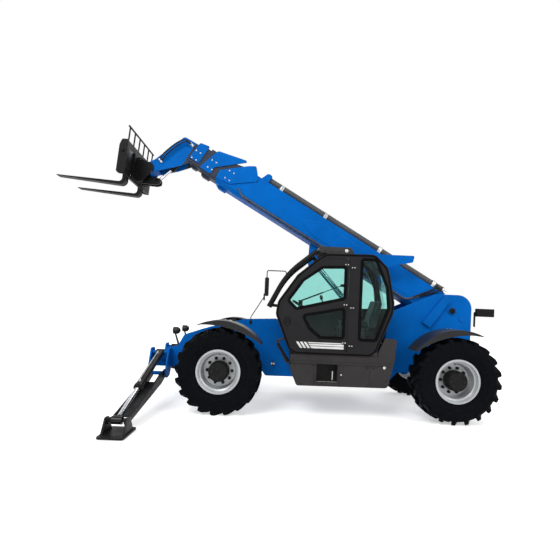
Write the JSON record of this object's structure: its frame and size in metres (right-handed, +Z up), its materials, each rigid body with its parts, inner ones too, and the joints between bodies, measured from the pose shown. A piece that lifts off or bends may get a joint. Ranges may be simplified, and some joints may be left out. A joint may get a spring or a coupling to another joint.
{
  "type": "telescopic handler",
  "caption": "Telescopic handler with cab, raised nested boom, fork carriage, lowered front stabilisers and lugged steering wheels.",
  "frame": {"origin": "on the ground under the middle of the footprint", "axes": "+X forward along the machine, +Y to its left, +Z up"},
  "size_m": [6.9369, 4.8028, 4.4077],
  "materials": {
    "blue": "gloss paint",
    "grey": "satin paint",
    "black": "satin paint",
    "guard": "moulded plastic",
    "shell": "satin paint",
    "cover": "moulded plastic",
    "bonnet": "painted moulding",
    "steel": "polished rod",
    "iron": "painted casting",
    "rim": "silver paint",
    "tyre": "rubber",
    "glass": "clear",
    "fabric": "woven seat cloth",
    "fork": "satin paint",
    "lamp": "gloss housing",
    "pipe": "corrugated sleeve"
  },
  "bodies": {
    "chassis": {"chassis_frame": "blue", "chassis_plate_left": "blue", "chassis_plate_right": "blue", "front_axle": "iron", "rear_axle": "iron", "cab_shell": "shell", "cab_glass": "glass", "cab_base": "cover", "seat_base": "cover", "seat_cushion": "fabric", "dash": "cover", "roof_guard": "grey", "screen_guard": "black", "engine_pod": "cover", "engine": "iron", "rear_mirror": "black", "lamps": "lamp", "hose_bracket": "blue"},
    "boom": {"boom_outer": "blue", "boom_conduit": "pipe"},
    "boom_second": {"boom_second": "blue"},
    "boom_third": {"boom_third": "blue"},
    "boom_nose": {"boom_nose": "blue"},
    "lift_barrel": {"lift_barrel": "black"},
    "lift_rod": {"lift_rod": "steel"},
    "tilt_barrel": {"tilt_barrel": "black"},
    "tilt_rod": {"tilt_rod": "steel"},
    "carriage": {"quick_hitch": "black", "fork_carriage": "black", "load_backrest": "black", "forks": "fork"},
    "door": {"cab_door": "shell", "door_glass": "glass"},
    "bonnet": {"bonnet": "bonnet"},
    "leg_left": {"stabiliser_leg_left": "black"},
    "stab_barrel_left": {"stabiliser_left_barrel": "black"},
    "stab_rod_left": {"stabiliser_left_rod": "steel"},
    "pad_left": {"stabiliser_pad_left": "black"},
    "leg_right": {"stabiliser_leg_right": "black"},
    "stab_barrel_right": {"stabiliser_right_barrel": "black"},
    "stab_rod_right": {"stabiliser_right_rod": "steel"},
    "pad_right": {"stabiliser_pad_right": "black"},
    "knuckle_front_left": {"knuckle_front_left": "iron", "mudguard_front_left": "guard"},
    "wheel_front_left": {"rim_front_left": "rim", "tyre_front_left": "tyre"},
    "knuckle_front_right": {"knuckle_front_right": "iron", "mudguard_front_right": "guard"},
    "wheel_front_right": {"rim_front_right": "rim", "tyre_front_right": "tyre"},
    "knuckle_rear_left": {"knuckle_rear_left": "iron", "mudguard_rear_left": "guard"},
    "wheel_rear_left": {"rim_rear_left": "rim", "tyre_rear_left": "tyre"},
    "knuckle_rear_right": {"knuckle_rear_right": "iron", "mudguard_rear_right": "guard"},
    "wheel_rear_right": {"rim_rear_right": "rim", "tyre_rear_right": "tyre"}
  },
  "joints": [
    {"name": "steer_front_left", "type": "hinge", "parent": "chassis", "child": "knuckle_front_left", "pos_m": [0.60481, 0.72, 0.62951], "axis": [0, 0, 1], "range_deg": [-35, 35]},
    {"name": "steer_front_right", "type": "hinge", "parent": "chassis", "child": "knuckle_front_right", "pos_m": [0.60481, -0.72, 0.62951], "axis": [0, 0, 1], "range_deg": [-35, 35]},
    {"name": "wheel_front_left_spin", "type": "hinge", "parent": "knuckle_front_left", "child": "wheel_front_left", "pos_m": [0.60481, 1, 0.62951], "axis": [0, 1, 0], "continuous": true},
    {"name": "wheel_front_right_spin", "type": "hinge", "parent": "knuckle_front_right", "child": "wheel_front_right", "pos_m": [0.60481, -1, 0.62951], "axis": [0, 1, 0], "continuous": true},
    {"name": "steer_rear_left", "type": "hinge", "parent": "chassis", "child": "knuckle_rear_left", "pos_m": [-2.85219, 0.72, 0.62951], "axis": [0, 0, 1], "range_deg": [-35, 35]},
    {"name": "steer_rear_right", "type": "hinge", "parent": "chassis", "child": "knuckle_rear_right", "pos_m": [-2.85219, -0.72, 0.62951], "axis": [0, 0, 1], "range_deg": [-35, 35]},
    {"name": "wheel_rear_left_spin", "type": "hinge", "parent": "knuckle_rear_left", "child": "wheel_rear_left", "pos_m": [-2.85219, 1, 0.62951], "axis": [0, 1, 0], "continuous": true},
    {"name": "wheel_rear_right_spin", "type": "hinge", "parent": "knuckle_rear_right", "child": "wheel_rear_right", "pos_m": [-2.85219, -1, 0.62951], "axis": [0, 1, 0], "continuous": true},
    {"name": "boom_lift", "type": "hinge", "parent": "chassis", "child": "boom", "pos_m": [-3.07319, 0, 1.654], "axis": [0, -1, 0], "range_deg": [-32, 38]},
    {"name": "lift_barrel_swing", "type": "hinge", "parent": "chassis", "child": "lift_barrel", "pos_m": [-2.39519, 0, 0.62], "axis": [0, -1, 0], "range_deg": [-27.38, 32.42]},
    {"name": "lift_rod_slide", "type": "slide", "parent": "lift_barrel", "child": "lift_rod", "axis": [0.6661, 0, 0.7458], "range_m": [-0.637, 0.7555]},
    {"name": "telescope_second", "type": "slide", "parent": "boom", "child": "boom_second", "axis": [0.866, 0, 0.5], "range_m": [0, 3.4]},
    {"name": "telescope_third", "type": "slide", "parent": "boom_second", "child": "boom_third", "axis": [0.866, 0, 0.5], "range_m": [0, 3.4]},
    {"name": "telescope_nose", "type": "slide", "parent": "boom_third", "child": "boom_nose", "axis": [0.866, 0, 0.5], "range_m": [0, 3.4]},
    {"name": "carriage_tilt", "type": "hinge", "parent": "boom_nose", "child": "carriage", "pos_m": [2.05325, 0, 3.87474], "axis": [0, 1, 0], "range_deg": [-38, 60]},
    {"name": "tilt_barrel_swing", "type": "hinge", "parent": "boom_nose", "child": "tilt_barrel", "pos_m": [1.35952, 0, 4.23632], "axis": [0, 1, 0], "range_deg": [-1.44, 2.1]},
    {"name": "tilt_rod_slide", "type": "slide", "parent": "tilt_barrel", "child": "tilt_rod", "axis": [0.7128, 0, -0.7014], "range_m": [-0.2229, 0.143]},
    {"name": "stabiliser_left", "type": "hinge", "parent": "chassis", "child": "leg_left", "pos_m": [1.63481, 0.56, 0.48], "axis": [-1, 0, 0], "range_deg": [-95, 8]},
    {"name": "stabiliser_left_barrel_swing", "type": "hinge", "parent": "chassis", "child": "stab_barrel_left", "pos_m": [1.63481, 0.47, 0.8], "axis": [-1, 0, 0], "range_deg": [-98.82, 8.78]},
    {"name": "stabiliser_left_rod_slide", "type": "slide", "parent": "stab_barrel_left", "child": "stab_rod_left", "axis": [0, 0.9387, -0.3448], "range_m": [-0.4775, 0.0448]},
    {"name": "stabiliser_left_pad", "type": "hinge", "parent": "leg_left", "child": "pad_left", "pos_m": [1.63481, 2.17139, 0.175], "axis": [-1, 0, 0], "range_deg": [-30, 18]},
    {"name": "stabiliser_right", "type": "hinge", "parent": "chassis", "child": "leg_right", "pos_m": [1.63481, -0.56, 0.48], "axis": [1, 0, 0], "range_deg": [-95, 8]},
    {"name": "stabiliser_right_barrel_swing", "type": "hinge", "parent": "chassis", "child": "stab_barrel_right", "pos_m": [1.63481, -0.47, 0.8], "axis": [1, 0, 0], "range_deg": [-98.82, 8.78]},
    {"name": "stabiliser_right_rod_slide", "type": "slide", "parent": "stab_barrel_right", "child": "stab_rod_right", "axis": [0, -0.9387, -0.3448], "range_m": [-0.4775, 0.0448]},
    {"name": "stabiliser_right_pad", "type": "hinge", "parent": "leg_right", "child": "pad_right", "pos_m": [1.63481, -2.17139, 0.175], "axis": [1, 0, 0], "range_deg": [-30, 18]},
    {"name": "cab_door_swing", "type": "hinge", "parent": "chassis", "child": "door", "pos_m": [-1.23819, 1.15, 1.65], "axis": [0, 0, 1], "range_deg": [0, 100]},
    {"name": "bonnet_swing", "type": "hinge", "parent": "chassis", "child": "bonnet", "pos_m": [-1.90319, -0.74, 1.458], "axis": [0, -1, 0], "range_deg": [0, 55]}
  ],
  "couplings": [
    {"joint": "steer_front_right", "follows": "steer_front_left", "ratio": 1},
    {"joint": "steer_rear_right", "follows": "steer_rear_left", "ratio": 1},
    {"joint": "lift_barrel_swing", "follows": "boom_lift", "ratio": 0.84},
    {"joint": "lift_rod_slide", "follows": "boom_lift", "m_per_rad": 1.1316},
    {"joint": "telescope_third", "follows": "telescope_second", "ratio": 1},
    {"joint": "telescope_nose", "follows": "telescope_second", "ratio": 1},
    {"joint": "tilt_barrel_swing", "follows": "carriage_tilt", "ratio": 0.03},
    {"joint": "tilt_rod_slide", "follows": "carriage_tilt", "m_per_rad": -0.20807},
    {"joint": "stabiliser_left_barrel_swing", "follows": "stabiliser_left", "ratio": 1.035},
    {"joint": "stabiliser_left_rod_slide", "follows": "stabiliser_left", "m_per_rad": 0.28497},
    {"joint": "stabiliser_right_barrel_swing", "follows": "stabiliser_right", "ratio": 1.035},
    {"joint": "stabiliser_right_rod_slide", "follows": "stabiliser_right", "m_per_rad": 0.28497}
  ]
}
